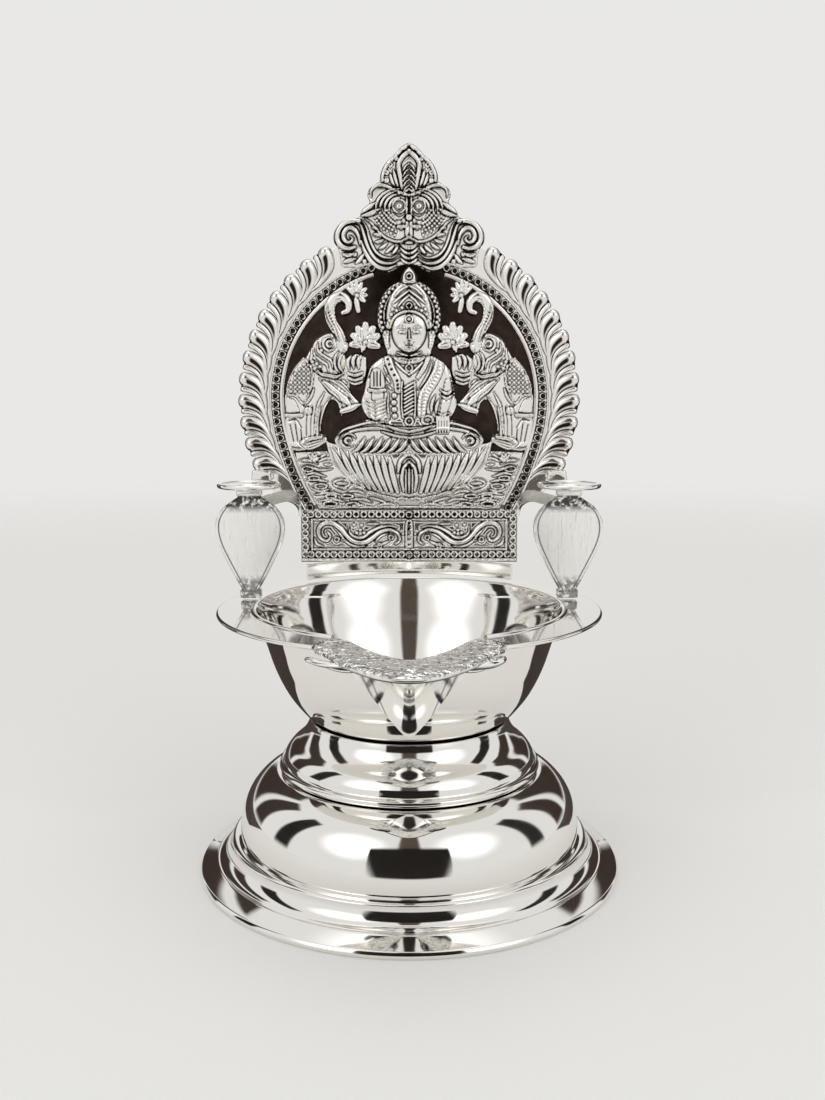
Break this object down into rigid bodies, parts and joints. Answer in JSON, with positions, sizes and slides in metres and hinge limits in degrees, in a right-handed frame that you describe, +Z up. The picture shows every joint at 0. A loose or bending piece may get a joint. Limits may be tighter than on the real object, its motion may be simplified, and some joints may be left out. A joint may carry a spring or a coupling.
{
  "type": "diya",
  "caption": "Footed oil lamp: domed base, waisted collar, flanged bowl with a wick spout, side pillars with discs, and an upright arched plate with relief.",
  "frame": {"origin": "centre of the lamp's footprint box, on the table", "axes": "+Z up; the spout and the relief face -Y; +X to the right of someone who faces the lamp"},
  "size_m": [0.084, 0.0926, 0.1462],
  "materials": {
    "polished_silver": "mirror polished silver plate",
    "satin_silver": "satin silver plate with fine scratches",
    "relief_silver": "polished relief with tarnish in the recesses",
    "dark_mirror": "darkened mirror plate",
    "stud_brass": "turned",
    "clamp_steel": "zinc plated"
  },
  "bodies": {
    "root": {"base_shell": "polished_silver", "neck_collar": "polished_silver", "bowl": "polished_silver", "spout": "polished_silver", "clamp_stud": "stud_brass", "clamp_washer": "clamp_steel", "clamp_nut": "clamp_steel", "pillar_left": "satin_silver", "pillar_disc_left": "polished_silver", "shoulder_arm_left": "polished_silver", "pillar_right": "satin_silver", "pillar_disc_right": "polished_silver", "shoulder_arm_right": "polished_silver", "foot_strip": "polished_silver", "backing_plate": "dark_mirror", "scroll_panel": "relief_silver", "seated_figure": "relief_silver", "lotus_seat": "relief_silver", "crest": "relief_silver", "elephant_left": "relief_silver", "bead_border_left": "relief_silver", "rope_border_left": "relief_silver", "elephant_right": "relief_silver", "bead_border_right": "relief_silver", "rope_border_right": "relief_silver", "ground_relief": "relief_silver"}
  },
  "joints": []
}
